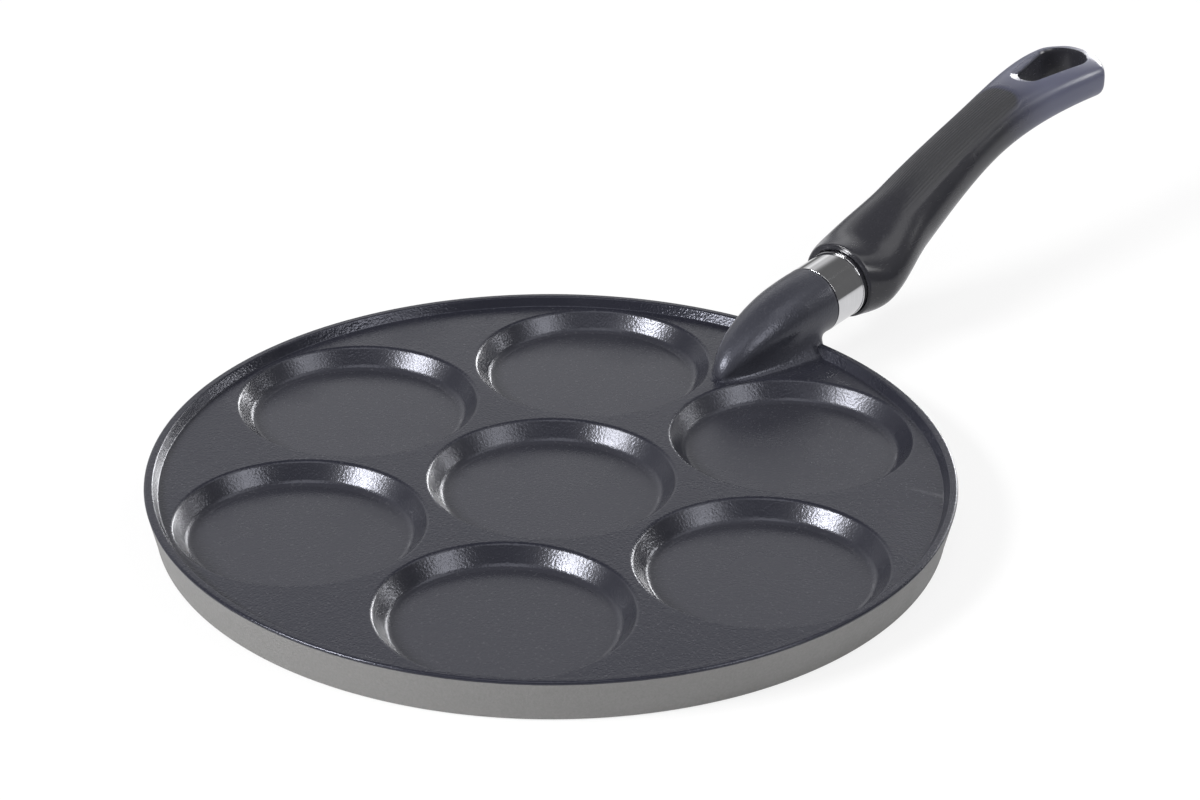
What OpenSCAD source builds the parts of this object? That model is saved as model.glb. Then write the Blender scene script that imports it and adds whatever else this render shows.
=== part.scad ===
// Pancake pan: a flat cast disc with seven round wells, a cast neck, a steel ferrule
// and a moulded handle held on by one long bolt. Lengths are in millimetres.
// The origin is the centre of the flat base; the handle runs along +X and up is +Z.

/* [Wells] */
// Diameter of a well at its top edge
well_d = 84.8; // [76:0.2:92]
// Depth of a well below the deck
well_depth = 6.5; // [4:0.1:8]
// How far a well's wall draws in between its top edge and its floor
well_draw = 4.9; // [3.6:0.1:8]
// Radius of the rounded top edge of a well
well_lip_r = 1.9; // [0.8:0.1:2.6]
// Radius of the corner between a well's wall and its floor
well_corner_r = 3.6; // [1:0.1:5]
// Width of the ridge left between two wells
well_web = 2.4; // [1.6:0.1:6]
// Number of wells in the ring round the middle one
ring_count = 6; // [4:1:6]

/* [Pan] */
// Thickness of metal under a well
floor_t = 5.7; // [4:0.1:8]
// Flat strip of deck between the outer wells and the foot of the rim
deck_margin = 0.6; // [0.4:0.1:6]
// Height of the rim above the deck
rim_rise = 3.3; // [2.6:0.1:5]
// Width of the rim at its top
rim_w = 3.0; // [2.6:0.1:5]
// Run of the slope from the rim's inner edge down to the deck
rim_slope = 1.8; // [1:0.1:3]
// Rounding of the rim's two top edges
rim_edge_r = 0.9; // [0.4:0.1:1.2]
// How far the outer wall draws in towards the base
wall_draw = 3.6; // [1:0.1:6]
// Rounding of the outer wall's bottom edge
base_edge_r = 1.2; // [0.6:0.1:2.5]

/* [Neck] */
// Height of the ferrule's axis above the base, where the neck ends
axis_h = 23.3; // [20:0.1:30]
// Upward tilt of the ferrule's axis in degrees
axis_tilt = 3.5; // [0:0.25:6]
// Distance from the rim's outer edge to the neck's end
neck_reach = 11.5; // [9:0.5:24]
// Half of the gap between two wells where the neck's nose starts
nose_gap = 4.2; // [3.6:0.1:8]
// Extra half width of the neck's foot where it meets the rim
foot_flare = 7; // [3:0.5:10]
// How far the neck's flanks draw in above the foot
flank_draw = 1.4; // [0:0.1:2.5]
// Bevel of the neck's end where it meets the ferrule
neck_edge = 0.6; // [0.2:0.1:1]
// Radial step from the ferrule down to the neck
neck_step = 0.1; // [0:0.05:0.4]
// Depth of the neck's foot below the deck, inside the disc
foot_sink = 1; // [0.5:0.1:2]

/* [Ferrule] */
// Diameter of the tenon that carries the ferrule
tenon_d = 21; // [18:0.1:23]
// Wall of the ferrule's tube
tube_wall = 1.92; // [1:0.02:3]
// Length of the ferrule that shows between neck and handle
ferrule_show = 17; // [12:0.5:26]
// Length of the ferrule that sits inside the handle's mouth
ferrule_seat = 4; // [2:0.5:6]
// Length of the tenon past the ferrule's inner end
tenon_past = 10; // [6:0.5:11]

/* [Handle] */
// Length of the handle from its mouth to its tip
handle_len = 161; // [150:1:185]
// Wall of the handle round the ferrule at its mouth
mouth_wall = 1.75; // [1.2:0.05:2.6]
// How far the mouth's middle sits above the ferrule's axis
mouth_lift = 1; // [0:0.1:1.2]
// Rounding of the mouth's outer edge
mouth_edge_r = 0.6; // [0.3:0.1:0.8]
// Distance of the finger guard's fullest section from the mouth
guard_at = 11.5; // [9:0.5:14]
// Width of the handle at the finger guard
guard_w = 37; // [34:0.2:38]
// Height of the handle at the finger guard
guard_h = 28.4; // [28:0.2:32]
// How far the finger guard hangs below the handle's middle line
guard_drop = 0.8; // [0:0.1:1.5]
// Distance over which that drop fades out
guard_fade = 10; // [6:0.5:14]
// Distance of the grip's middle section from the mouth
grip_at = 40; // [36:1:50]
// Width of the grip's middle section
grip_w = 27.6; // [25:0.2:31]
// Height of the grip's middle section
grip_h = 27.8; // [25:0.2:29]
// Distance of the waist from the mouth
waist_at = 90; // [80:1:100]
// Width of the handle at its waist
waist_w = 22.6; // [21.6:0.2:27]
// Height of the handle at its waist
waist_h = 20; // [18:0.2:22]
// Width of the handle's end lobe
lobe_w = 32; // [30:0.2:36]
// Height of the handle's end lobe
lobe_h = 16.8; // [15:0.2:18]
// Height of the end lobe's middle above the ferrule's axis at the mouth
handle_rise = 35.7; // [30:0.1:38]
// Reach of the curve that leaves the mouth along the ferrule's axis
sweep_lead = 31; // [20:1:45]
// Reach of the curve that arrives at the end lobe
sweep_arrive = 72; // [50:1:80]
// Fall of the handle over that reach, towards its tip
sweep_dip = 5.4; // [0:0.2:7]
// Length of the rounded end past the lobe's widest section
lobe_back = 10; // [9:0.5:15]
// Squareness of the end lobe's section: 2 is an ellipse
lobe_power = 3; // [2.4:0.1:3.4]
// Fullness of the rounded end, seen from above
tip_plan = 1.7; // [1.5:0.1:2.4]
// Rounding of the tip, seen from the side
tip_r = 3.8; // [2:0.1:5]
// Half width of the small flat at the very tip
tip_flat = 0.6; // [0.4:0.1:1]

/* [Hanging hole] */
// Wall left between the hole and the handle's tip
hole_wall = 5; // [4.5:0.5:9]
// Length of the hanging hole
hole_len = 38; // [30:1:40]
// Diameter of the hole's wide end
hole_wide_d = 18; // [14:0.2:18.6]
// Diameter of the hole's narrow end
hole_narrow_d = 10; // [8:0.2:11]
// Width of the bevel round the hole
bevel_w = 1.8; // [1:0.1:2.4]
// Depth of the bevel round the hole
bevel_depth = 2.4; // [1:0.1:3]
// Length of the bevel's ramp at the narrow end
ramp_len = 6; // [3:0.5:9]

/* [Bolt] */
// Diameter of the handle bolt
bolt_d = 5; // [4:0.1:5.6]
// Diameter of the bolt's head
bolt_head_d = 8.5; // [7.4:0.1:9]
// Height of the bolt's head
bolt_head_h = 3.3; // [2.5:0.1:4]
// Length of the arms of the cross recess in the head
recess_len = 5; // [4:0.1:6]
// Width of those arms
recess_w = 1; // [0.8:0.1:1.4]
// Depth of the cross recess
recess_depth = 1.65; // [1:0.05:2]
// Height of the bolt's line above the handle's middle line at the hole
bolt_high = 1.5; // [0.5:0.1:2.5]
// Length of bolt that is screwed into the tenon
thread_grip = 16; // [10:0.5:18]
// Depth of the bolt head's seat below the hole's narrow end
bolt_sink = 9; // [7:0.5:14]
// Thickness of the flat washer
washer_t = 1; // [0.6:0.1:1.6]
// Thickness of the split spring washer
spring_t = 1.3; // [0.8:0.1:1.8]
// Outer diameter of both washers
washer_d = 9.6; // [8.6:0.1:10]
// Angle of the split in the spring washer in degrees
split_angle = 14; // [8:1:24]

/* [Fits] */
// Radial clearance of the ferrule on the tenon and of the tenon in its socket
tenon_gap = 0.08; // [0.05:0.01:0.2]
// Radial clearance of the ferrule in the handle's mouth
mouth_gap = 0.15; // [0.1:0.05:0.4]
// Radial clearance of the bolt in its bore and of the washers on the bolt
bolt_gap = 0.3; // [0.2:0.05:0.5]
// Radial clearance of the bolt's end in its tapped hole
thread_gap = 0.05; // [0.03:0.01:0.1]
// Gap between a blind hole's bottom and what fills the hole
end_gap = 0.5; // [0.3:0.1:1]

/* [Hidden] */
$fn = 120;

// Places worked out from the sizes above
well_r = well_d / 2;
ring_r = well_d + well_web;
ring_step = 360 / ring_count;
deck_z = floor_t + well_depth;
rim_z = deck_z + rim_rise;
foot_r = ring_r + well_r + deck_margin;
rim_r = foot_r + rim_slope + rim_w;
base_r = rim_r - wall_draw;

// The neck starts where the gap between the two wells beside it is wide enough
well_x = ring_r * cos(ring_step / 2);
well_y = ring_r * sin(ring_step / 2);
nose_dy = min(well_y - nose_gap, well_r);
nose_x = well_x + sqrt(well_r * well_r - nose_dy * nose_dy);
neck_x = rim_r + neck_reach;
neck_len = neck_x - nose_x;
tenon_r = tenon_d / 2;
ferrule_d = tenon_d + 2 * tenon_gap + 2 * tube_wall;
neck_r = ferrule_d / 2 - neck_step;
neck_top = axis_h + neck_r;
neck_foot_z = deck_z - foot_sink;

// The ferrule's axis carries the tenon, the ferrule and the handle's mouth
mouth_d = ferrule_d + 2 * mouth_gap + 2 * mouth_wall;
mouth_x = neck_x + ferrule_show * cos(axis_tilt);
mouth_z = axis_h + ferrule_show * sin(axis_tilt);
tenon_len = ferrule_show + ferrule_seat + tenon_past;
tenon_x = neck_x + tenon_len * cos(axis_tilt);
tenon_z = axis_h + tenon_len * sin(axis_tilt);

// The hanging hole is placed from the handle's tip
hole_wide_r = hole_wide_d / 2;
hole_narrow_r = hole_narrow_d / 2;
hole_wide_s = handle_len - hole_wall - hole_wide_r;
hole_narrow_s = handle_len - hole_wall - hole_len + hole_narrow_r;
lobe_at = handle_len - lobe_back;

// The bolt runs straight from the tenon's end to the hole's narrow end
bolt_aim_x = mouth_x + hole_narrow_s - hole_narrow_r;
bolt_aim_z = mouth_z + spine(hole_narrow_s - hole_narrow_r) + bolt_high;
bolt_tilt = atan2(bolt_aim_z - tenon_z, bolt_aim_x - tenon_x);
bolt_run = norm([bolt_aim_x - tenon_x, bolt_aim_z - tenon_z]);
seat_at = bolt_run - bolt_sink;
head_at = seat_at + washer_t + spring_t;
bolt_r = bolt_d / 2;
bore_r = bolt_r + bolt_gap;

// Steps of the lofted shapes and of the outlines' arcs
neck_rings = 26;
flank_steps = 9;
lead_steps = 3;
grip_steps = 31;
tip_steps = 10;
handle_sides = 44;
hole_steps = 12;
edge_steps = 10;
corner_steps = 8;
lip_steps = 8;

// How far a cutter runs past what it cuts
cut_over = 1;
// How far the hole's bevel runs past its two ends
bevel_over = 0.3;
// Where a well's rolled lip stops, in degrees from level
lip_end = 12;
// How late the neck's foot flares out: 1 is evenly
flare_curve = 1.3;
// Start slope of a size curve against its first straight run
start_slope = 1.5;
// Least half width of a neck ring
least_y = 0.05;

// Point on a circle in the drawing plane
function on_circle(c, r, a) = [c[0] + r * cos(a), c[1] + r * sin(a)];

// Arc from angle a to angle b
function arc(c, r, a, b, n = edge_steps) = [for (i = [0:n]) on_circle(c, r, a + (b - a) * i / n)];

// Eased step from 0 to 1
function smooth(t) = let (u = max(0, min(1, t))) u * u * (3 - 2 * u);

// Slope of a table's curve at one of its points: steep at the start, level at a peak or a dip
function table_slope(table, i) =
    i == len(table) - 1 ? 0 :
    i == 0 ? start_slope * (table[1][1] - table[0][1]) / (table[1][0] - table[0][0]) :
    let (before = (table[i][1] - table[i - 1][1]) / (table[i][0] - table[i - 1][0]))
    let (after = (table[i + 1][1] - table[i][1]) / (table[i + 1][0] - table[i][0]))
    before * after <= 0 ? 0 : 2 * before * after / (before + after);

// Height of the smooth curve through a table's points at s
function table_curve(table, s, i = 0) =
    i < len(table) - 2 && s > table[i + 1][0] ? table_curve(table, s, i + 1) :
    let (span = table[i + 1][0] - table[i][0])
    let (t = max(0, min(1, (s - table[i][0]) / span)))
    let (a = table_slope(table, i) * span)
    let (b = table_slope(table, i + 1) * span)
    let (rest = 1 - t)
    table[i][1] * rest * rest * (1 + 2 * t) + a * t * rest * rest
    + table[i + 1][1] * t * t * (3 - 2 * t) - b * t * t * rest;

// Triangles over a stack of rings that have the same number of points
module loft(rings) {
    n = len(rings[0]);
    last = len(rings) - 1;
    points = [for (ring = rings) each ring];
    sides = [for (i = [0:last - 1]) for (j = [0:n - 1])
        let (a = i * n + j)
        let (b = i * n + (j + 1) % n)
        each [[a, a + n, b], [b, a + n, b + n]]];
    caps = [[for (j = [0:n - 1]) j], [for (j = [n - 1:-1:0]) last * n + j]];
    polyhedron(points, concat(sides, caps), convexity = 6);
}

// Turns what it holds so that its +Z lies along a rising line in the XZ plane
module along(x, z, tilt) {
    translate([x, 0, z]) rotate([0, 90 - tilt, 0]) children();
}

// Half section of the disc, with its rounded rim and edges
function disc_outline() =
    let (wall = atan2(rim_z, wall_draw))
    let (slope = atan2(rim_rise, rim_slope))
    let (low_x = base_r - base_edge_r * tan(wall / 2))
    let (out_x = rim_r - rim_edge_r / tan(wall / 2))
    let (in_x = rim_r - rim_w + rim_edge_r * tan(slope / 2))
    concat(
        [[0, 0]],
        arc([base_r - base_edge_r / tan((180 - wall) / 2), base_edge_r], base_edge_r, -90, 90 - wall),
        arc([out_x, rim_z - rim_edge_r], rim_edge_r, 90 - wall, 90),
        arc([in_x, rim_z - rim_edge_r], rim_edge_r, 90, 90 + slope),
        [[foot_r, deck_z], [0, deck_z]]
    );

// Half section of the tool that cuts a well: floor, corner, wall and a lip that rolls over
function well_outline() =
    let (wall = atan2(well_depth, well_draw))
    let (lip_c = [well_r, deck_z - well_lip_r])
    let (lip_top = on_circle(on_circle(lip_c, well_lip_r, 90 + lip_end), cut_over, lip_end))
    let (lip_low = on_circle(lip_c, well_lip_r, 90 + wall))
    let (corner_z = floor_t + well_corner_r)
    let (drop = lip_low[1] - (corner_z - well_corner_r * cos(wall)))
    let (corner_x = lip_low[0] - drop / tan(wall) - well_corner_r * sin(wall))
    concat(
        [[0, floor_t]],
        arc([corner_x, corner_z], well_corner_r, -90, wall - 90, corner_steps),
        arc(lip_c, well_lip_r, 90 + wall, 90 + lip_end, lip_steps),
        [lip_top, [lip_top[0], deck_z + cut_over], [0, deck_z + cut_over]]
    );

// One ring of the neck at x, from its foot up one flank, over the top and down the other.
// Inside the rim the flanks flare out to a buried foot; outside it they close to a round tube.
function neck_ring(x, shrink = 0) =
    let (t = (x - nose_x) / neck_len)
    let (swell = sqrt(1 - (1 - t) * (1 - t)))
    let (half = neck_r * swell - shrink)
    let (foot_z = axis_h - neck_r + (neck_foot_z - axis_h + neck_r) * (1 - smooth(t)) + shrink)
    let (top = neck_foot_z + (neck_top - neck_foot_z) * swell - shrink)
    let (rise = (top - foot_z) / 2)
    let (mid = foot_z + rise)
    let (spread = foot_flare * pow(min(1, (x - nose_x) / (rim_r - nose_x)), flare_curve))
    let (close = smooth((x - rim_r + rim_w) / (neck_x - neck_edge - rim_r + rim_w)))
    let (flank = [for (i = [1:flank_steps])
        let (u = i / flank_steps)
        let (flared = half - flank_draw * sin(180 * u) * swell + spread * pow(u, 3))
        let (y = flared * (1 - close) + half * cos(90 * u) * close)
        [max(y, least_y), mid - rise * (u * (1 - close) + sin(90 * u) * close)]])
    let (crown = [for (i = [0:flank_steps])
        let (a = 90 * i / flank_steps)
        [half * cos(a), mid + rise * sin(a)]])
    let (right = concat([for (i = [flank_steps - 1:-1:0]) flank[i]], crown))
    let (outline = concat(right, [for (i = [len(right) - 2:-1:0]) [-right[i][0], right[i][1]]]))
    [for (p = outline) [x - (p[1] - axis_h) * tan(axis_tilt) * smooth(t), p[0], p[1]]];

// Places of the neck's rings: close together at the nose, the first one half a step in
function neck_places() =
    [for (i = [0:neck_rings]) nose_x + (neck_len - neck_edge) * (1 - cos(90 * (i + 0.5) / (neck_rings + 0.5)))];

// Height of the handle's sweep above the mouth, s millimetres from the mouth: a cubic
// curve that leaves along the ferrule's axis and arrives at the end lobe slightly downhill
function sweep(s, low = 0, high = 1, steps = 24) =
    let (end = lobe_at)
    let (t = (low + high) / 2)
    let (rest = 1 - t)
    let (x = 3 * rest * rest * t * sweep_lead + 3 * rest * t * t * (end - sweep_arrive) + t * t * t * end)
    s > end ? handle_rise - (s - end) * sweep_dip / sweep_arrive :
    steps > 0 ? (x < s ? sweep(s, t, high, steps - 1) : sweep(s, low, t, steps - 1)) :
    3 * rest * rest * t * sweep_lead * tan(axis_tilt) + 3 * rest * t * t * (handle_rise + sweep_dip)
    + t * t * t * handle_rise;

// Height of the handle's middle line: the sweep with the mouth lifted and the guard lowered
function spine(s) = sweep(s) + mouth_lift * (1 - smooth(s / guard_at))
    - guard_drop * exp(-pow((s - guard_at) / guard_fade, 2));

// Widths and heights of the handle along its length
grip_widths = [[0, mouth_d], [guard_at, guard_w], [grip_at, grip_w], [waist_at, waist_w], [lobe_at, lobe_w]];
grip_heights = [[0, mouth_d], [guard_at, guard_h], [grip_at, grip_h], [waist_at, waist_h], [lobe_at, lobe_h]];

// One ring of the handle: a rounded section, squarer towards the tip
function handle_ring(s) =
    let (end_run = max(0, (s - lobe_at) / (handle_len - lobe_at)))
    let (plan = s < lobe_at ? 1 : pow(max(1 - pow(end_run, tip_plan), 0), 1 / tip_plan))
    let (tip_run = max(0, (s - handle_len + tip_r) / tip_r))
    let (nip = tip_r * (1 - sqrt(max(0, 1 - tip_run * tip_run))))
    let (lead_run = max(0, 1 - s / mouth_edge_r))
    let (lead_in = mouth_edge_r * (1 - sqrt(max(0, 1 - lead_run * lead_run))))
    let (half_w = max(table_curve(grip_widths, s) / 2 * plan - lead_in, tip_flat))
    let (half_h = table_curve(grip_heights, s) / 2 - nip - lead_in)
    let (power = 2 + (lobe_power - 2) * smooth((s - grip_at) / (lobe_at - grip_at)))
    let (z = mouth_z + spine(s))
    [for (i = [0:handle_sides - 1])
        let (a = 360 * (i + 0.5) / handle_sides)
        let (c = cos(a))
        let (h = sin(a))
        let (y = half_w * sign(c) * pow(abs(c), 2 / power))
        let (dz = half_h * sign(h) * pow(abs(h), 2 / power))
        [mouth_x + s - (z + dz - mouth_z) * tan(axis_tilt) * max(0, 1 - s / guard_at), y, z + dz]];

// Places of the handle's rings: close together at the mouth and at the tip
function handle_places() = concat(
    [for (i = [0:lead_steps]) mouth_edge_r * (1 - cos(90 * i / lead_steps))],
    [for (i = [1:grip_steps]) mouth_edge_r + (lobe_at - mouth_edge_r) * i / grip_steps],
    [for (i = [1:tip_steps]) lobe_at + (handle_len - lobe_at) * sin(90 * i / tip_steps)]
);

// Outline of the hanging hole, grown by a margin and drawn out towards the mouth
function hole_outline(grow, draw) =
    let (wide = [mouth_x + hole_wide_s - grow / 2, 0])
    let (narrow = [mouth_x + hole_narrow_s - draw, 0])
    let (turn = asin((hole_wide_r - hole_narrow_r) / (wide[0] - narrow[0])))
    concat(
        arc(wide, hole_wide_r + grow, -90 - turn, 90 + turn, hole_steps),
        arc(narrow, hole_narrow_r + grow, 90 + turn, 270 - turn, hole_steps)
    );

module pan_body() {
    color([0.28, 0.28, 0.3])
    difference() {
        union() {
            difference() {
                rotate_extrude() polygon(disc_outline());
                well_cut(0, 0);
                for (i = [0:ring_count - 1])
                    well_cut(ring_r, (i + 0.5) * ring_step);
            }
            loft(concat([for (x = neck_places()) neck_ring(x)], [neck_ring(neck_x, neck_edge)]));
            along(neck_x, axis_h, axis_tilt)
                translate([0, 0, -neck_r]) cylinder(r = tenon_r, h = tenon_len + neck_r);
        }
        along(tenon_x, tenon_z, bolt_tilt)
            translate([0, 0, -thread_grip - end_gap])
                cylinder(r = bolt_r + thread_gap, h = thread_grip + end_gap + tenon_r);
    }
}

// Cuts one well at a distance and a bearing from the pan's centre
module well_cut(distance, bearing) {
    rotate([0, 0, bearing]) translate([distance, 0, 0])
        rotate_extrude() polygon(well_outline());
}

module ferrule() {
    color([0.8, 0.8, 0.82])
    along(neck_x, axis_h, axis_tilt)
        difference() {
            cylinder(r = ferrule_d / 2, h = ferrule_show + ferrule_seat);
            translate([0, 0, -cut_over])
                cylinder(r = tenon_r + tenon_gap, h = ferrule_show + ferrule_seat + 2 * cut_over);
        }
}

module handle() {
    color([0.2, 0.2, 0.22])
    difference() {
        loft([for (s = handle_places()) handle_ring(s)]);
        along(mouth_x, mouth_z, axis_tilt) {
            translate([0, 0, -cut_over])
                cylinder(r = ferrule_d / 2 + mouth_gap, h = ferrule_seat + cut_over);
            cylinder(r = tenon_r + tenon_gap, h = ferrule_seat + tenon_past + end_gap);
        }
        along(tenon_x, tenon_z, bolt_tilt) {
            cylinder(r = bore_r, h = bolt_run);
            translate([0, 0, seat_at])
                cylinder(r = washer_d / 2 + bolt_gap, h = bolt_sink + hole_narrow_r);
        }
        hanging_hole();
    }
}

// The through hole with a bevel above it that runs out as a ramp
module hanging_hole() {
    top_z = mouth_z + spine(hole_wide_s) + lobe_h / 2;
    translate([0, 0, top_z - 2 * lobe_h])
        linear_extrude(height = 3 * lobe_h) polygon(hole_outline(0, 0));
    loft([
        [for (p = hole_outline(-bevel_over, 0)) [p[0], p[1], top_z - bevel_depth - bevel_over]],
        [for (p = hole_outline(bevel_w, ramp_len)) [p[0], p[1], top_z + bevel_over]],
        [for (p = hole_outline(bevel_w + cut_over, ramp_len)) [p[0], p[1], top_z + bevel_depth + cut_over]]
    ]);
}

module handle_bolt() {
    color([0.75, 0.75, 0.77])
    along(tenon_x, tenon_z, bolt_tilt)
        difference() {
            union() {
                translate([0, 0, -thread_grip])
                    cylinder(r = bolt_r, h = thread_grip + head_at + (bolt_head_h - recess_depth) / 2);
                translate([0, 0, head_at]) cylinder(r = bolt_head_d / 2, h = bolt_head_h);
            }
            for (turn = [0, 90])
                rotate([0, 0, turn])
                    translate([-recess_len / 2, -recess_w / 2, head_at + bolt_head_h - recess_depth])
                        cube([recess_len, recess_w, recess_depth + cut_over]);
        }
}

module spring_washer() {
    color([0.7, 0.7, 0.72])
    along(tenon_x, tenon_z, bolt_tilt)
        translate([0, 0, seat_at + washer_t])
            rotate_extrude(angle = 360 - split_angle)
                translate([bore_r, 0]) square([washer_d / 2 - bore_r, spring_t]);
}

module flat_washer() {
    color([0.78, 0.78, 0.8])
    along(tenon_x, tenon_z, bolt_tilt)
        translate([0, 0, seat_at])
            difference() {
                cylinder(r = washer_d / 2, h = washer_t);
                translate([0, 0, -cut_over]) cylinder(r = bore_r, h = washer_t + 2 * cut_over);
            }
}

pan_body();
ferrule();
handle();
handle_bolt();
spring_washer();
flat_washer();
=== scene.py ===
import math
import bpy
import bmesh
from mathutils import Matrix, Vector


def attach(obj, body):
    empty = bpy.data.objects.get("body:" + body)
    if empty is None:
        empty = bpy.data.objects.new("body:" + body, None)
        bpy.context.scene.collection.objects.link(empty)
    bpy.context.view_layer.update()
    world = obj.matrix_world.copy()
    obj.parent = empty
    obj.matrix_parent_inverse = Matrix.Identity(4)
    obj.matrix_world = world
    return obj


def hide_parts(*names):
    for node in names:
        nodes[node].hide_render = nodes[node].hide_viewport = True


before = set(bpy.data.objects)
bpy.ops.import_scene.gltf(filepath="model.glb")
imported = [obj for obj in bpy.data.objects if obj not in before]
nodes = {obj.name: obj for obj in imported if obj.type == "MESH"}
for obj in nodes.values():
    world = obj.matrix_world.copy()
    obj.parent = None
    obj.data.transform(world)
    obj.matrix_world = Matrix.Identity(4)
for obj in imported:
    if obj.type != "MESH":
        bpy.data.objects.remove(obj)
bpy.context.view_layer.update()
scene = bpy.context.scene
mm = 0.001
print("frame loaded:", sorted(nodes))

# Small helpers: maths and outlines in millimetres


def smoothStep(t):
    t = max(0.0, min(1.0, t))
    return t * t * (3 - 2 * t)


def onCircle(centre, radius, angle):
    a = math.radians(angle)
    return (centre[0] + radius * math.cos(a), centre[1] + radius * math.sin(a))


def arcPoints(centre, radius, start, end, steps):
    return [onCircle(centre, radius, start + (end - start) * i / steps) for i in range(steps + 1)]


def tableSlope(table, i):
    if i == len(table) - 1:
        return 0.0
    after = (table[i + 1][1] - table[i][1]) / (table[i + 1][0] - table[i][0])
    if i == 0:
        return 1.5 * after
    before = (table[i][1] - table[i - 1][1]) / (table[i][0] - table[i - 1][0])
    return 0.0 if before * after <= 0 else 2 * before * after / (before + after)


def tableCurve(table, s):
    # smooth curve through a table's points
    i = 0
    while i < len(table) - 2 and s > table[i + 1][0]:
        i += 1
    span = table[i + 1][0] - table[i][0]
    t = max(0.0, min(1.0, (s - table[i][0]) / span))
    rest = 1 - t
    return (table[i][1] * rest * rest * (1 + 2 * t) + tableSlope(table, i) * span * t * rest * rest
            + table[i + 1][1] * t * t * (3 - 2 * t) - tableSlope(table, i + 1) * span * t * t * rest)


# Small helpers: meshes


def finishMesh(name, bm):
    bmesh.ops.scale(bm, vec=(mm, mm, mm), verts=bm.verts)
    bmesh.ops.recalc_face_normals(bm, faces=bm.faces)
    mesh = bpy.data.meshes.new(name)
    bm.to_mesh(mesh)
    bm.free()
    obj = bpy.data.objects.new(name, mesh)
    scene.collection.objects.link(obj)
    return obj


def revolve(bm, outline, sides, centre=(0, 0)):
    # turns an outline of (radius, height) points round a vertical line
    rings = []
    for radius, z in outline:
        count = 1 if radius < 1e-6 else sides
        turns = [2 * math.pi * i / sides for i in range(count)]
        rings.append([bm.verts.new((centre[0] + radius * math.cos(a), centre[1] + radius * math.sin(a), z))
                      for a in turns])
    for low, high in zip(rings, rings[1:]):
        for i in range(sides):
            j = (i + 1) % sides
            corners = []
            for v in (low[i % len(low)], low[j % len(low)], high[j % len(high)], high[i % len(high)]):
                if v not in corners:
                    corners.append(v)
            if len(corners) > 2:
                bm.faces.new(corners)
    return rings


def loft(bm, rings, closeEnds=True):
    # skin over rings that have the same number of points
    rows = [[bm.verts.new(p) for p in ring] for ring in rings]
    count = len(rows[0])
    for low, high in zip(rows, rows[1:]):
        for i in range(count):
            j = (i + 1) % count
            bm.faces.new((low[i], low[j], high[j], high[i]))
    if closeEnds:
        bm.faces.new(rows[0][::-1])
        bm.faces.new(rows[-1])
    return rows


def along(x, z, tilt):
    # frame whose Z runs along a rising line in the XZ plane, in millimetres
    return Matrix.Translation((x, 0, z)) @ Matrix.Rotation(math.radians(90 - tilt), 4, "Y")


def turned(name, outline, sides, place):
    # a round piece or a cutter on one of the tilted axes
    bm = bmesh.new()
    revolve(bm, outline, sides)
    bmesh.ops.transform(bm, matrix=place, verts=bm.verts)
    return finishMesh(name, bm)


def applyModifiers(obj):
    graph = bpy.context.evaluated_depsgraph_get()
    mesh = bpy.data.meshes.new_from_object(obj.evaluated_get(graph))
    old = obj.data
    obj.modifiers.clear()
    obj.data = mesh
    bpy.data.meshes.remove(old)


def mergeClose(obj, reach):
    bm = bmesh.new()
    bm.from_mesh(obj.data)
    bmesh.ops.remove_doubles(bm, verts=bm.verts, dist=reach * mm)
    bmesh.ops.dissolve_degenerate(bm, edges=bm.edges, dist=reach * mm)
    bmesh.ops.recalc_face_normals(bm, faces=bm.faces)
    bm.to_mesh(obj.data)
    bm.free()


def combine(target, tool, operation):
    modifier = target.modifiers.new("combine", "BOOLEAN")
    modifier.operation = operation
    modifier.solver = "MANIFOLD"
    modifier.object = tool
    applyModifiers(target)
    mergeClose(target, 0.002)
    bpy.data.objects.remove(tool)


def smoothShade(obj, sharpAngle):
    obj.data.shade_smooth()
    obj.data.set_sharp_from_angle(angle=math.radians(sharpAngle))
    weighted = obj.modifiers.new("even shading", "WEIGHTED_NORMAL")
    weighted.keep_sharp = True
    weighted.weight = 60


def ownPiece(obj, node, material):
    obj.data.materials.clear()
    obj.data.materials.append(material)
    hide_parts(node)
    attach(obj, "root")


# Small helpers: shader nodes


def addNode(tree, kind, place, sockets=None, **settings):
    node = tree.nodes.new(kind)
    node.location = (place[0] * 200, -place[1] * 160)
    for key, value in settings.items():
        setattr(node, key, value)
    for key, value in (sockets or {}).items():
        if isinstance(value, bpy.types.NodeSocket):
            tree.links.new(value, node.inputs[key])
        else:
            node.inputs[key].default_value = value
    return node


def calc(tree, operation, a, b, place, clamp=False):
    values = {0: a} if b is None else {0: a, 1: b}
    return addNode(tree, "ShaderNodeMath", place, values, operation=operation, use_clamp=clamp).outputs[0]


def ramp(tree, value, low, high, place, start=0.0, end=1.0):
    # eased change from start to end while value goes from low to high
    node = addNode(tree, "ShaderNodeMapRange", place,
                   {"Value": value, "From Min": low, "From Max": high, "To Min": start, "To Max": end},
                   interpolation_type="SMOOTHSTEP")
    return node.outputs["Result"]


def shifted(tree, value, mask, change, place):
    # value, changed by this much where the mask is 1
    return calc(tree, "ADD", value, calc(tree, "MULTIPLY", mask, change, place), (place[0] + 1, place[1]))


def mixColor(tree, share, a, b, place):
    node = addNode(tree, "ShaderNodeMix", place, data_type="RGBA")
    for key, value in (("Factor", share), ("A", a), ("B", b)):
        socket = next(s for s in node.inputs if s.name == key and (key == "Factor" or s.type == "RGBA"))
        if isinstance(value, bpy.types.NodeSocket):
            tree.links.new(value, socket)
        else:
            socket.default_value = value
    return next(s for s in node.outputs if s.type == "RGBA")


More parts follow.
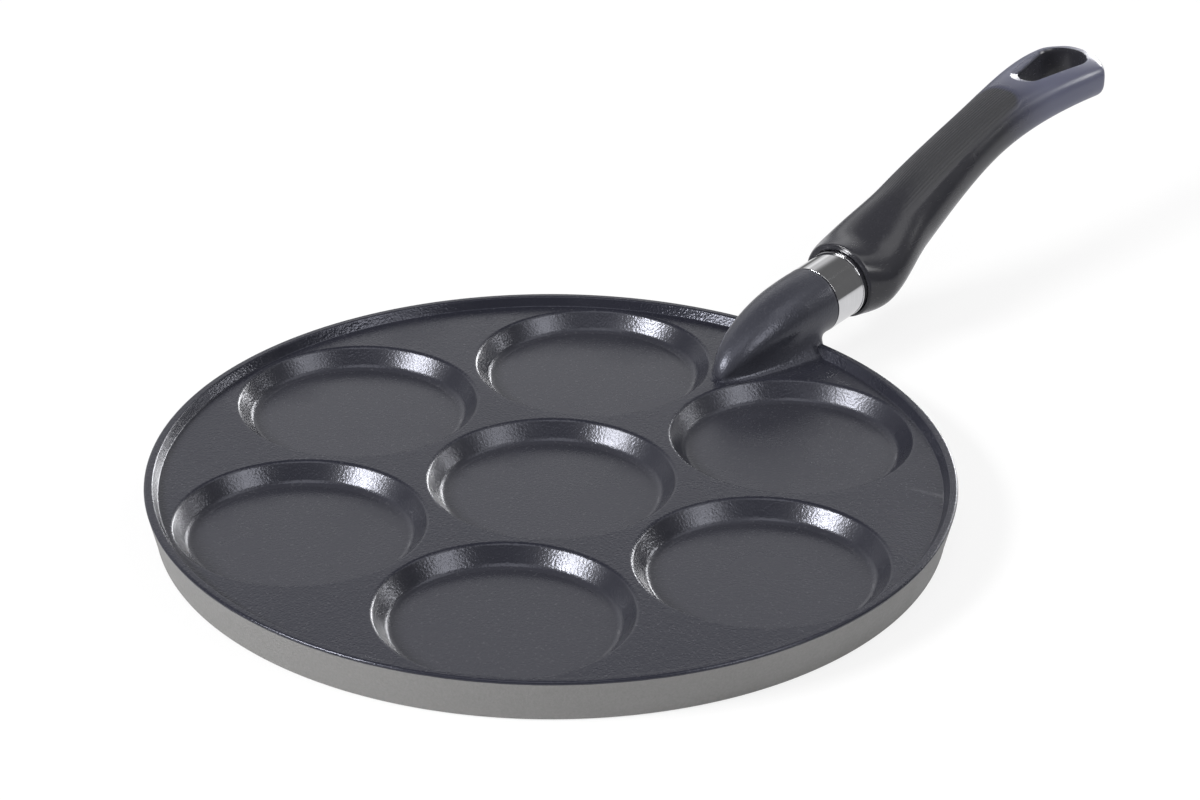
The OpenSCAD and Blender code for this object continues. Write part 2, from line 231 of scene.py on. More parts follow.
def startGroup(name, inputs, outputs):
    group = bpy.data.node_groups.new(name, "ShaderNodeTree")
    for label, kind, value in inputs:
        socket = group.interface.new_socket(name=label, in_out="INPUT", socket_type=kind)
        if value is not None:
            socket.default_value = value
    for label in outputs:
        group.interface.new_socket(name=label, in_out="OUTPUT", socket_type="NodeSocketFloat")
    given = addNode(group, "NodeGroupInput", (-3, 0))
    result = addNode(group, "NodeGroupOutput", (8, 0))
    return group, given.outputs, result.inputs


def placeGroup(tree, group, place, sockets):
    node = tree.nodes.new("ShaderNodeGroup")
    node.node_tree = group
    node.location = (place[0] * 200, -place[1] * 160)
    for key, value in sockets.items():
        if isinstance(value, bpy.types.NodeSocket):
            tree.links.new(value, node.inputs[key])
        else:
            node.inputs[key].default_value = value
    return node.outputs


def startMaterial(name):
    material = bpy.data.materials.new(name)
    material.use_nodes = True
    tree = material.node_tree
    tree.nodes.clear()
    coords = addNode(tree, "ShaderNodeTexCoord", (-6, 0)).outputs["Object"]
    shader = addNode(tree, "ShaderNodeBsdfPrincipled", (4, 0))
    output = addNode(tree, "ShaderNodeOutputMaterial", (6, 0))
    tree.links.new(shader.outputs[0], output.inputs["Surface"])
    return material, tree, coords, shader


def bumpInto(tree, shader, height, distance, strength, place):
    bump = addNode(tree, "ShaderNodeBump", place, {"Height": height, "Distance": distance, "Strength": strength})
    tree.links.new(bump.outputs[0], shader.inputs["Normal"])


# Effects that several finishes share

floatSocket = "NodeSocketFloat"
vectorSocket = "NodeSocketVector"


def buildGrain():
    # skin of a casting or a moulding: soft lumps, fine grain and small specks
    group, given, result = startGroup(
        "surfaceGrain",
        [("Vector", vectorSocket, None), ("Lump Scale", floatSocket, 300.0), ("Grain Scale", floatSocket, 1200.0),
         ("Grain Share", floatSocket, 0.5), ("Grain Detail", floatSocket, 3.0)],
        ["Height", "Specks"])
    lumps = addNode(group, "ShaderNodeTexNoise", (0, 0),
                    {"Vector": given["Vector"], "Scale": given["Lump Scale"], "Detail": 2.0, "Roughness": 0.5})
    grain = addNode(group, "ShaderNodeTexNoise", (0, 2),
                    {"Vector": given["Vector"], "Scale": given["Grain Scale"], "Detail": given["Grain Detail"],
                     "Roughness": 0.5})
    specks = addNode(group, "ShaderNodeTexVoronoi", (0, 4),
                     {"Vector": given["Vector"], "Scale": given["Grain Scale"], "Randomness": 1.0})
    fine = calc(group, "MULTIPLY", grain.outputs[0], given["Grain Share"], (2, 1))
    rest = calc(group, "SUBTRACT", 1.0, given["Grain Share"], (2, 2))
    soft = calc(group, "MULTIPLY", lumps.outputs[0], rest, (3, 1))
    group.links.new(calc(group, "ADD", fine, soft, (4, 1)), result["Height"])
    group.links.new(ramp(group, specks.outputs["Distance"], 0.12, 0.3, (3, 4), 1.0, 0.0), result["Specks"])
    return group


def buildScuffs():
    # fine hairline scratches and cloudy wiping marks
    group, given, result = startGroup(
        "rubMarks",
        [("Vector", vectorSocket, None), ("Scratch Scale", floatSocket, 60.0), ("Cloud Scale", floatSocket, 18.0)],
        ["Scratches", "Clouds"])
    lines = None
    for i, (turn, stretch) in enumerate(((0.6, 24.0), (-0.9, 31.0))):
        mapping = addNode(group, "ShaderNodeMapping", (-1, i * 2),
                          {"Vector": given["Vector"], "Rotation": (0.0, 0.0, turn), "Scale": (1.0, stretch, stretch)})
        noise = addNode(group, "ShaderNodeTexNoise", (1, i * 2),
                        {"Vector": mapping.outputs[0], "Scale": given["Scratch Scale"], "Detail": 2.0})
        line = ramp(group, noise.outputs[0], 0.66, 0.72, (2, i * 2))
        lines = line if lines is None else calc(group, "MAXIMUM", lines, line, (4, 1))
    clouds = addNode(group, "ShaderNodeTexNoise", (1, 5),
                     {"Vector": given["Vector"], "Scale": given["Cloud Scale"], "Detail": 4.0, "Roughness": 0.62})
    group.links.new(lines, result["Scratches"])
    group.links.new(ramp(group, clouds.outputs[0], 0.35, 0.68, (3, 5)), result["Clouds"])
    return group


def buildWear():
    # rubbed edges, broken up by noise, and dust that settles on what faces up
    group, given, result = startGroup(
        "wearAndDust",
        [("Vector", vectorSocket, None), ("Edge", floatSocket, 0.5), ("Dust", floatSocket, 0.2)],
        ["Edges", "Dust"])
    geometry = addNode(group, "ShaderNodeNewGeometry", (-1, 0))
    noise = addNode(group, "ShaderNodeTexNoise", (-1, 2), {"Vector": given["Vector"], "Scale": 260.0, "Detail": 3.0})
    edge = ramp(group, geometry.outputs["Pointiness"], 0.515, 0.58, (1, 0))
    broken = calc(group, "MULTIPLY", edge, ramp(group, noise.outputs[0], 0.3, 0.6, (1, 2)), (2, 0))
    group.links.new(calc(group, "MULTIPLY", broken, given["Edge"], (4, 0)), result["Edges"])
    facing = addNode(group, "ShaderNodeSeparateXYZ", (0, 4), {0: geometry.outputs["Normal"]})
    upward = ramp(group, facing.outputs["Z"], 0.6, 1.0, (1, 4))
    motes = addNode(group, "ShaderNodeTexNoise", (-1, 6), {"Vector": given["Vector"], "Scale": 900.0, "Detail": 2.0})
    dust = calc(group, "MULTIPLY", upward, ramp(group, motes.outputs[0], 0.58, 0.75, (1, 6)), (3, 4))
    group.links.new(calc(group, "MULTIPLY", dust, given["Dust"], (4, 4)), result["Dust"])
    return group


surfaceGrain = buildGrain()
rubMarks = buildScuffs()
wearAndDust = buildWear()
print("shared effects built")

# Pan: the cast disc with seven wells and the neck that grows out of its deck

pan = {
    "wellDiameter": 84.8, "wellDepth": 6.5, "wellDraw": 4.9, "wellLip": 1.9, "wellCorner": 3.6,
    "wellWeb": 2.4, "ringCount": 6, "floorThickness": 5.7, "deckMargin": 0.6, "rimRise": 3.3,
    "rimWidth": 3.0, "rimSlope": 1.8, "rimEdge": 0.9, "slopeFoot": 0.7, "wallDraw": 3.6, "baseEdge": 1.2,
    "axisHeight": 23.3, "axisTilt": 3.5, "neckReach": 11.5, "noseGap": 4.2, "footFlare": 7.0,
    "footFillet": 2.0, "flankDraw": 0.3, "neckEdge": 0.6, "footSink": 1.0, "neckRadius": 12.4,
    "flareRun": 1.5, "flareFall": 1.9, "footPack": 1.6,
    "tenonRadius": 10.5, "tenonLength": 31.0, "boreRadius": 2.55, "boreDepth": 16.5,
    "discSides": 288, "wellSides": 144, "neckRings": 60, "flankSteps": 26, "crownSteps": 20,
}
wellRadius = pan["wellDiameter"] / 2
ringRadius = pan["wellDiameter"] + pan["wellWeb"]
deckZ = pan["floorThickness"] + pan["wellDepth"]
rimZ = deckZ + pan["rimRise"]
footRadius = ringRadius + wellRadius + pan["deckMargin"]
rimRadius = footRadius + pan["rimSlope"] + pan["rimWidth"]
baseRadius = rimRadius - pan["wallDraw"]
neckX = rimRadius + pan["neckReach"]
tiltSlope = math.tan(math.radians(pan["axisTilt"]))
# the neck's nose starts between the two wells beside it
besideX, besideY = onCircle((0, 0), ringRadius, 180 / pan["ringCount"])
noseX = besideX + math.sqrt(wellRadius ** 2 - (besideY - pan["noseGap"]) ** 2)


def discOutline():
    # from the middle of the base, up the outer wall, over the rim and down to the deck
    wall = math.degrees(math.atan2(rimZ, pan["wallDraw"]))
    slope = math.degrees(math.atan2(pan["rimRise"], pan["rimSlope"]))
    edge, base, foot = pan["rimEdge"], pan["baseEdge"], pan["slopeFoot"]
    outX = rimRadius - edge / math.tan(math.radians(wall / 2))
    inX = rimRadius - pan["rimWidth"] + edge * math.tan(math.radians(slope / 2))
    baseX = baseRadius - base / math.tan(math.radians((180 - wall) / 2))
    footX = footRadius - foot * math.tan(math.radians(slope / 2))
    return ([(0, 0), (baseX * 0.6, 0)]
            + arcPoints((baseX, base), base, -90, 90 - wall, 8)
            + arcPoints((outX, rimZ - edge), edge, 90 - wall, 90, 8)
            + arcPoints((inX, rimZ - edge), edge, 90, 90 + slope, 8)
            + arcPoints((footX, deckZ + foot), foot, slope - 90, -90, 6))


def wellOutline():
    # from the deck over the lip, down the wall, round the corner and in to the middle
    wall = math.degrees(math.atan2(pan["wellDepth"], pan["wellDraw"]))
    lip, corner = pan["wellLip"], pan["wellCorner"]
    lipC = (wellRadius, deckZ - lip)
    lipLow = onCircle(lipC, lip, 90 + wall)
    cornerZ = pan["floorThickness"] + corner
    drop = lipLow[1] - (cornerZ - corner * math.cos(math.radians(wall)))
    cornerX = lipLow[0] - drop / math.tan(math.radians(wall)) - corner * math.sin(math.radians(wall))
    return (arcPoints(lipC, lip, 90, 90 + wall, 10)
            + arcPoints((cornerX, cornerZ), corner, wall - 90, -90, 14)
            + [(cornerX * 0.5, pan["floorThickness"]), (0, pan["floorThickness"])])


def buildDisc():
    bm = bmesh.new()
    borders = [revolve(bm, discOutline(), pan["discSides"])[-1]]
    places = [(0.0, 0.0)]
    for i in range(pan["ringCount"]):
        places.append(onCircle((0, 0), ringRadius, (i + 0.5) * 360 / pan["ringCount"]))
    for place in places:
        borders.append(revolve(bm, wellOutline(), pan["wellSides"], place)[0])
    edges = []
    for border in borders:
        for i, v in enumerate(border):
            edges.append(bm.edges.get((v, border[(i + 1) % len(border)])))
    bmesh.ops.triangle_fill(bm, use_beauty=True, edges=edges)
    return finishMesh("panBody", bm)


def neckSection(x, shrink=0.0):
    # one side of the neck at x, from its foot up the flank to the middle of the crown
    length = neckX - noseX
    t = (x - noseX) / length
    swell = math.sqrt(1 - (1 - t) ** 2)
    half = pan["neckRadius"] * swell - shrink
    slant = pan["neckRadius"] * (1 - t) / (swell * length)
    out = (-slant / math.hypot(1, slant), 1 / math.hypot(1, slant))
    low = pan["axisHeight"] - pan["neckRadius"]
    buried = low + (deckZ - pan["footSink"] - low) * (1 - smoothStep(t)) + shrink
    inside = 1 - smoothStep((x - footRadius + 2) / 6)
    footZ = buried + (deckZ - 0.02 - buried) * inside
    top = deckZ - pan["footSink"] + (low + 2 * pan["neckRadius"] - deckZ + pan["footSink"]) * swell - shrink
    mid = (top + footZ) / 2
    rise = top - mid
    run = min(1, (x - noseX) / (rimRadius - noseX))
    spread = pan["footFlare"] * run ** pan["flareRun"]
    fillet = pan["footFillet"] / max(rise, 0.1)
    close = smoothStep((x - rimRadius + pan["rimWidth"]) / (neckX - pan["neckEdge"] - rimRadius + pan["rimWidth"]))
    points = []
    for i in range(pan["flankSteps"], 0, -1):
        u = 1 - (1 - i / pan["flankSteps"]) ** pan["footPack"]
        straight = half - pan["flankDraw"] * math.sin(math.pi * u) * swell
        low = max(0.0, (u - 1 + fillet) / fillet)
        round_ = pan["footFillet"] * (1 - math.sqrt(1 - min(low, 1.0) ** 2))
        cove = (spread * u ** pan["flareFall"] + round_) * (1 - close)
        y = (straight + cove * out[1]) * (1 - close) + half * math.cos(math.pi / 2 * u) * close
        z = mid - rise * (u * (1 - close) + math.sin(math.pi / 2 * u) * close)
        points.append((x + cove * out[0], max(y, 0.02), z))
    for i in range(pan["crownSteps"] + 1):
        a = math.pi / 2 * i / pan["crownSteps"]
        points.append((x, half * math.cos(a), mid + rise * math.sin(a)))
    lean = tiltSlope * smoothStep(t)
    return [(px - (pz - pan["axisHeight"]) * lean, y, pz) for px, y, pz in points]


def buildNeck():
    run = neckX - noseX - pan["neckEdge"]
    places = [noseX + run * (1 - math.cos(math.pi / 2 * (i + 1.2) / (pan["neckRings"] + 1.2)))
              for i in range(pan["neckRings"] + 1)]
    sections = [neckSection(x) for x in places] + [neckSection(neckX, pan["neckEdge"])]
    rings = [half + [(x, -y, z) for x, y, z in half[-2::-1]] for half in sections]
    # the tenon under ferrule and handle goes on from the neck's end
    end = rings[-1]
    place = along(neckX, pan["axisHeight"], pan["axisTilt"])
    turns = [math.atan2(z - pan["axisHeight"], y) for x, y, z in end]
    for reach, radius in ((0, pan["tenonRadius"]), (pan["tenonLength"] - 0.6, pan["tenonRadius"]),
                          (pan["tenonLength"], pan["tenonRadius"] - 0.6)):
        rings.append([tuple(place @ Vector((-radius * math.sin(a), radius * math.cos(a), reach))) for a in turns])
    bm = bmesh.new()
    rows = loft(bm, rings, closeEnds=False)
    bm.faces.new(rows[-1])
    # the rounded toe: the first section swept round from one side to the other
    first = rows[0]
    count = len(sections[0])
    columns = [first[:count]]
    for j in range(1, 8):
        a = math.pi * j / 8
        column = [bm.verts.new((x - y * math.sin(a), y * math.cos(a), z)) for x, y, z in sections[0][:-1]]
        columns.append(column + [first[count - 1]])
    columns.append(first[:count - 2:-1])
    for left, right in zip(columns, columns[1:]):
        for i in range(count - 1):
            corners = [left[i], right[i], right[i + 1], left[i + 1]]
            bm.faces.new(corners[:3] if i == count - 2 else corners)
    bm.faces.new([column[0] for column in columns])
    bmesh.ops.remove_doubles(bm, verts=bm.verts, dist=0.001)
    return finishMesh("neckTool", bm)


def boltLine():
    # the bolt runs from the tenon's end to the narrow end of the hanging hole
    x = neckX + pan["tenonLength"] * math.cos(math.radians(pan["axisTilt"]))
    z = pan["axisHeight"] + pan["tenonLength"] * math.sin(math.radians(pan["axisTilt"]))
    narrow = handle["boltEnd"]
    aimX = mouthX + narrow
    aimZ = mouthZ + spine(narrow) + handle["boltHigh"]
    return x, z, math.degrees(math.atan2(aimZ - z, aimX - x)), math.hypot(aimX - x, aimZ - z)


# Handle: one curved moulding with a grooved top and a hanging hole

handle = {
    "length": 161.0, "mouthLift": 1.0, "mouthEdge": 0.6, "guardAt": 11.5,
    "guardDrop": 0.8, "guardFade": 10.0, "lobeAt": 151.0, "lobePower": 3.0, "gripAt": 40.0,
    "rise": 35.7, "sweepLead": 31.0, "sweepArrive": 72.0, "sweepDip": 5.4, "tipPlan": 1.7, "tipRadius": 3.8,
    "tipFlat": 0.6, "lobeHeight": 16.8, "boltEnd": 118.0,
    "holeWall": 6.3, "holeLength": 35.0, "holeWide": 9.0, "holeNarrow": 5.0,
    "bevelWidth": 1.8, "bevelDepth": 2.4, "rampLength": 6.0, "holeRound": 0.9, "boltHigh": 1.5,
    "boltSink": 9.0, "boreRadius": 2.8, "seatRadius": 5.1,
    "panelStart": 22.0, "panelLead": 34.0, "panelEnd": 106.0, "panelHalf": 9.3, "panelCorner": 7.0,
    "panelDepth": 0.3,
    "panelEdge": 1.6, "groovePitch": 1.1, "grooveDepth": 0.16, "grooveHalf": 8.6,
    "topSpan": 10.4, "topSteps": 110, "sideSteps": 36, "ringStep": 0.85,
}
widths = [(0, 28.8), (11.5, 37.0), (40, 27.6), (90, 22.6), (151, 32.0)]
heights = [(0, 28.8), (11.5, 28.4), (40, 27.8), (90, 20.0), (151, 16.8)]
ferruleShow = 17.0
mouthX = neckX + ferruleShow * math.cos(math.radians(pan["axisTilt"]))
mouthZ = pan["axisHeight"] + ferruleShow * math.sin(math.radians(pan["axisTilt"]))


def sweep(s):
    end = handle["lobeAt"]
    lead, arrive, dip, rise = handle["sweepLead"], handle["sweepArrive"], handle["sweepDip"], handle["rise"]
    if s > end:
        return rise - (s - end) * dip / arrive
    low, high = 0.0, 1.0
    for _ in range(30):
        t = (low + high) / 2
        rest = 1 - t
        x = 3 * rest * rest * t * lead + 3 * rest * t * t * (end - arrive) + t ** 3 * end
        low, high = (t, high) if x < s else (low, t)
    return 3 * rest * rest * t * lead * tiltSlope + 3 * rest * t * t * (rise + dip) + t ** 3 * rise


def spine(s):
    return (sweep(s) + handle["mouthLift"] * (1 - smoothStep(s / handle["guardAt"]))
            - handle["guardDrop"] * math.exp(-((s - handle["guardAt"]) / handle["guardFade"]) ** 2))


def panelShare(s, y):
    # 1 inside the matt panel on the handle's top, 0 outside, eased over its edge
    corner = handle["panelCorner"]
    middle = (handle["panelStart"] + handle["panelEnd"]) / 2
    dx = max(abs(s - middle) - (handle["panelEnd"] - handle["panelStart"]) / 2 + corner, 0)
    dy = max(abs(y) - handle["panelHalf"] + corner, 0)
    lead = smoothStep((s - handle["panelStart"]) / handle["panelLead"])
    return lead * smoothStep(0.5 - (math.hypot(dx, dy) - corner) / handle["panelEdge"])


def handleRing(s):
    length, tip, edge = handle["length"], handle["tipRadius"], handle["mouthEdge"]
    endRun = max(0.0, (s - handle["lobeAt"]) / (length - handle["lobeAt"]))
    plan = 1 if s < handle["lobeAt"] else max(1 - endRun ** handle["tipPlan"], 0) ** (1 / handle["tipPlan"])
    tipRun = max(0.0, (s - length + tip) / tip)
    nip = tip * (1 - math.sqrt(max(0, 1 - tipRun * tipRun)))
    leadRun = max(0.0, 1 - s / edge)
    leadIn = edge * (1 - math.sqrt(max(0, 1 - leadRun * leadRun)))
    halfW = max(tableCurve(widths, s) / 2 * plan - leadIn, handle["tipFlat"])
    halfH = tableCurve(heights, s) / 2 - nip - leadIn
    power = 2 + (handle["lobePower"] - 2) * smoothStep((s - handle["gripAt"]) / (handle["lobeAt"] - handle["gripAt"]))
    span = min(handle["topSpan"], 0.92 * halfW)
    z = mouthZ + spine(s)
    section = []
    steps = handle["topSteps"]
    for i in range(steps + 1):
        y = span * (1 - 2 * i / steps)
        dz = halfH * (1 - (abs(y) / halfW) ** power) ** (1 / power)
        share = panelShare(s, y)
        groove = 0.5 + 0.5 * math.cos(2 * math.pi * y / handle["groovePitch"])
        inside = smoothStep((handle["grooveHalf"] - abs(y)) / 0.6)
        section.append((y, dz - share * (handle["panelDepth"] + handle["grooveDepth"] * groove * inside)))
    start = math.acos((span / halfW) ** (power / 2))
    sides = handle["sideSteps"]
    for i in range(1, 2 * sides):
        a = math.pi - start + (math.pi + 2 * start) * i / (2 * sides)
        c, h = math.cos(a), math.sin(a)
        section.append((halfW * math.copysign(abs(c) ** (2 / power), c),
                        halfH * math.copysign(abs(h) ** (2 / power), h)))
    lean = tiltSlope * max(0, 1 - s / handle["guardAt"])
    return [(mouthX + s - (z + dz - mouthZ) * lean, y, z + dz) for y, dz in section]


def handlePlaces():
    edge, step, end = handle["mouthEdge"], handle["ringStep"], handle["lobeAt"]
    count = round((end - edge) / step)
    return ([edge * (1 - math.cos(math.pi / 2 * i / 4)) for i in range(5)]
            + [edge + (end - edge) * i / count for i in range(1, count + 1)]
            + [end + (handle["length"] - end) * math.sin(math.pi / 2 * i / 16) for i in range(1, 17)])


def holeRing(grow, draw, z):
    steps = 24
    wide = (mouthX + handle["length"] - handle["holeWall"] - handle["holeWide"] - max(grow, 0) * 0.7, 0)
    narrow = (mouthX + handle["length"] - handle["holeWall"] - handle["holeLength"] + handle["holeNarrow"] - draw, 0)
    turn = math.degrees(math.asin((handle["holeWide"] - handle["holeNarrow"]) / (wide[0] - narrow[0])))
    outline = (arcPoints(wide, handle["holeWide"] + grow, -90 - turn, 90 + turn, steps)
               + arcPoints(narrow, handle["holeNarrow"] + grow, 90 + turn, 270 - turn, steps))
    return [(x, y, z) for x, y in outline]


def holeTool():
    wideS = handle["length"] - handle["holeWall"] - handle["holeWide"]
    middle = mouthZ + spine(wideS)
    top = middle + handle["lobeHeight"] / 2
    width, depth, ramp_, soft = handle["bevelWidth"], handle["bevelDepth"], handle["rampLength"], handle["holeRound"]
    rings = [holeRing(soft + 3, 0, middle - handle["lobeHeight"] / 2 - 4), holeRing(soft, 0, middle - 8.6)]
    for i in range(1, 5):
        a = math.pi / 2 * i / 4
        rings.append(holeRing(soft * (1 - math.sin(a)), 0, middle - 8.6 + soft * (1 - math.cos(a))))
    rings.append(holeRing(0, 0, top - depth - 0.5))
    for i in range(1, 6):
        u = i / 6
        rings.append(holeRing(width * u ** 1.4, ramp_ * u, top - depth + depth * u))
    rings += [holeRing(width + 0.2, ramp_, top + 0.2), holeRing(width + 2.5, ramp_ + 1, top + 3)]
    bm = bmesh.new()
    loft(bm, rings)
    return finishMesh("holeTool", bm)


panBody = buildDisc()
combine(panBody, buildNeck(), "UNION")
boltX, boltZ, boltTilt, boltRun = boltLine()
boltPlace = along(boltX, boltZ, boltTilt)
depth = pan["boreDepth"]
bore = turned("boreTool", [(0, -depth), (pan["boreRadius"], -depth), (pan["boreRadius"], 12), (0, 12)], 48, boltPlace)
combine(panBody, bore, "DIFFERENCE")
smoothShade(panBody, 32)
print("pan body built:", len(panBody.data.polygons), "faces")

bm = bmesh.new()
loft(bm, [handleRing(s) for s in handlePlaces()])
handleGrip = finishMesh("handleGrip", bm)
combine(handleGrip, holeTool(), "DIFFERENCE")
mouthPlace = along(mouthX, mouthZ, pan["axisTilt"])
socket = [(0, -1), (13.15, -1), (13.15, 0), (12.65, 0.5), (12.65, 4), (10.6, 4), (10.6, 14.5), (0, 14.5)]
combine(handleGrip, turned("socketTool", socket, 96, mouthPlace), "DIFFERENCE")
seat = boltRun - handle["boltSink"]
boltBore = [(0, 0), (handle["boreRadius"], 0), (handle["boreRadius"], seat), (handle["seatRadius"], seat),
            (handle["seatRadius"], boltRun + 5), (0, boltRun + 5)]
combine(handleGrip, turned("boltTool", boltBore, 64, boltPlace), "DIFFERENCE")
smoothShade(handleGrip, 38)
print("handle built:", len(handleGrip.data.polygons), "faces")

# Ferrule: a bright steel sleeve with a small rolled bead beside the handle's mouth

ferrule = {
    "radius": 12.5, "bore": 10.6, "length": 21.0, "edge": 0.15, "beadAt": 15.4, "beadRadius": 0.3, "beadHigh": 0.16,
}


def ferruleOutline():
    radius, bore_, length, edge = ferrule["radius"], ferrule["bore"], ferrule["length"], ferrule["edge"]
    outline = [(bore_, 0)] + arcPoints((radius - edge, edge), edge, -90, 0, 5)
    for i in range(9):
        a = math.pi * i / 8
        outline.append((radius + ferrule["beadHigh"] * math.sin(a),
                        ferrule["beadAt"] - ferrule["beadRadius"] * math.cos(a)))
    outline += arcPoints((radius - edge, length - edge), edge, 0, 90, 5) + [(bore_, length), (bore_, 0)]
    return outline


ferruleSleeve = turned("ferruleSleeve", ferruleOutline(), 192, along(neckX, pan["axisHeight"], pan["axisTilt"]))
mergeClose(ferruleSleeve, 0.002)
smoothShade(ferruleSleeve, 40)
print("ferrule built")

# Finishes


def panFinish():
    # dark coat inside and over the rim, bare grey metal on the outer wall and the base; the neck and the well floors
    # are painted lighter, as painted light
    look = {"coat": (0.016, 0.0165, 0.024, 1), "coatLight": (0.025, 0.0255, 0.034, 1),
            "bare": (0.168, 0.165, 0.159, 1), "bareLight": (0.243, 0.240, 0.233, 1),
            "coatRough": 0.22, "neckRough": 0.27, "bareRough": 0.62,
            "wallRough": 0.24, "wallHaze": 0.35, "hazeRough": 0.36,
            "floorPaintedLight": (0.08, 0.08, 0.088, 1), "floorLightShare": 0.18, "floorSkin": 0.5,
            "neckPaintedLight": (0.036, 0.037, 0.047, 1), "worn": (0.11, 0.11, 0.12, 1), "line": rimZ - 1.0,
            "mirrorTint": (0.84, 0.86, 1.0, 1), "bareMetal": 0.12, "skinDepth": 0.00018}
    material, tree, coords, shader = startMaterial("darkCoatedCasting")
    shader.inputs["Specular Tint"].default_value = look["mirrorTint"]
    shader.inputs["Coat Roughness"].default_value = look["hazeRough"]
    place = addNode(tree, "ShaderNodeSeparateXYZ", (-5, 3), {0: coords})
    edgeNoise = addNode(tree, "ShaderNodeTexNoise", (-5, 5), {"Vector": coords, "Scale": 240.0, "Detail": 3.0})
    x, y, z = (place.outputs[i] for i in range(3))
    radial = calc(tree, "SQRT", calc(tree, "ADD", calc(tree, "MULTIPLY", x, x, (-4, 2)),
                                     calc(tree, "MULTIPLY", y, y, (-4, 3)), (-3, 2)), None, (-2, 2))
    height = calc(tree, "ADD", z, calc(tree, "MULTIPLY", edgeNoise.outputs[0], 0.0003, (-4, 5)), (-3, 4))
    below = ramp(tree, height, (look["line"] - 0.1) * mm, (look["line"] + 0.15) * mm, (-2, 4), 1.0, 0.0)
    wallRadial = calc(tree, "SUBTRACT", radial, calc(tree, "MULTIPLY", z, pan["wallDraw"] / rimZ, (-3, 5)), (-2, 5))
    outside = ramp(tree, wallRadial, (baseRadius - 0.5) * mm, (baseRadius - 0.3) * mm, (-2, 3))
    under = ramp(tree, z, 0.0004, 0.0008, (-2, 6), 1.0, 0.0)
    bareWall = calc(tree, "MULTIPLY", below, outside, (-1, 3))
    beyond = ramp(tree, radial, (rimRadius + 0.4) * mm, (rimRadius + 0.9) * mm, (-2, 8), 1.0, 0.0)
    bareWall = calc(tree, "MULTIPLY", bareWall, beyond, (0, 4))
    tenonBare = ramp(tree, x, (neckX + 0.3) * mm, (neckX + 0.5) * mm, (-2, 9))
    bare = calc(tree, "MAXIMUM", calc(tree, "MAXIMUM", bareWall, under, (1, 4)), tenonBare, (1, 5))
    grain = placeGroup(tree, surfaceGrain, (-3, -2),
                       {"Vector": coords, "Lump Scale": 620.0, "Grain Scale": 1250.0, "Grain Share": 0.72,
                        "Grain Detail": 1.0})
    marks = placeGroup(tree, rubMarks, (-3, -4), {"Vector": coords, "Scratch Scale": 26.0, "Cloud Scale": 22.0})
    wear = placeGroup(tree, wearAndDust, (-3, -6), {"Vector": coords, "Edge": 0.4, "Dust": 0.3})
    tone = calc(tree, "MULTIPLY", grain["Specks"], 0.5, (-1, -2))
    tone = calc(tree, "ADD", tone, calc(tree, "MULTIPLY", marks["Clouds"], 0.3, (-1, -4)), (0, -3), True)
    coat = mixColor(tree, tone, look["coat"], look["coatLight"], (1, -3))
    # neck mask: here the coat is painted lighter, a painted highlight for the light that falls on the neck; the mask
    # also sets the neck's roughness
    raised = ramp(tree, z, (deckZ + 0.4) * mm, (deckZ + 2.0) * mm, (-2, 11))
    inner = ramp(tree, radial, (footRadius - 1.4) * mm, (footRadius - 0.6) * mm, (-2, 12), 1.0, 0.0)
    aboveRim = ramp(tree, z, (rimZ + 0.2) * mm, (rimZ + 1.2) * mm, (-2, 13))
    neck = calc(tree, "MAXIMUM", calc(tree, "MULTIPLY", raised, inner, (-1, 11)), aboveRim, (0, 11))
    coat = mixColor(tree, neck, coat, look["neckPaintedLight"], (1, -5))
    floors = ramp(tree, z, (pan["floorThickness"] + 0.2) * mm, (pan["floorThickness"] + 1.2) * mm, (-2, -7), 1.0, 0.0)
    # well floors painted lighter: painted light that makes up for the shade the well walls cast on them
    coat = mixColor(tree, calc(tree, "MULTIPLY", floors, look["floorLightShare"], (1, -7)), coat, look["floorPaintedLight"],
                    (1, -4))
    coat = mixColor(tree, calc(tree, "ADD", wear["Edges"], wear["Dust"], (0, -6), True), coat, look["worn"], (2, -3))
    metal = mixColor(tree, grain["Height"], look["bare"], look["bareLight"], (1, -1))
    tree.links.new(mixColor(tree, bare, coat, metal, (3, -2)), shader.inputs["Base Color"])
    rough = ramp(tree, marks["Clouds"], 0.0, 1.0, (0, 1), look["coatRough"] - 0.04, look["coatRough"] + 0.07)
    rough = shifted(tree, rough, neck, look["neckRough"] - look["coatRough"], (1, 2))
    walls = ramp(tree, z, (deckZ - 0.5) * mm, (deckZ - 0.2) * mm, (-2, 14), 1.0, 0.0)
    walls = calc(tree, "SUBTRACT", walls, floors, (-1, 14), True)
    walls = calc(tree, "MULTIPLY", walls, calc(tree, "SUBTRACT", 1.0, bare, (-1, 15)), (0, 14))
    tree.links.new(calc(tree, "MULTIPLY", walls, look["wallHaze"], (2, 7)), shader.inputs["Coat Weight"])
    rough = shifted(tree, rough, walls, look["wallRough"] - look["coatRough"], (1, 6))
    rough = shifted(tree, rough, bare, look["bareRough"] - look["coatRough"], (1, 1))
    tree.links.new(rough, shader.inputs["Roughness"])
    tree.links.new(calc(tree, "MULTIPLY", bare, look["bareMetal"], (2, 3)), shader.inputs["Metallic"])
    calm = ramp(tree, floors, 0.0, 1.0, (0, 8), 1.0, look["floorSkin"])
    skin = calc(tree, "MULTIPLY", grain["Height"], calm, (1, 8))
    bumpInto(tree, shader, skin, look["skinDepth"], 0.8, (2, 5))
    return material


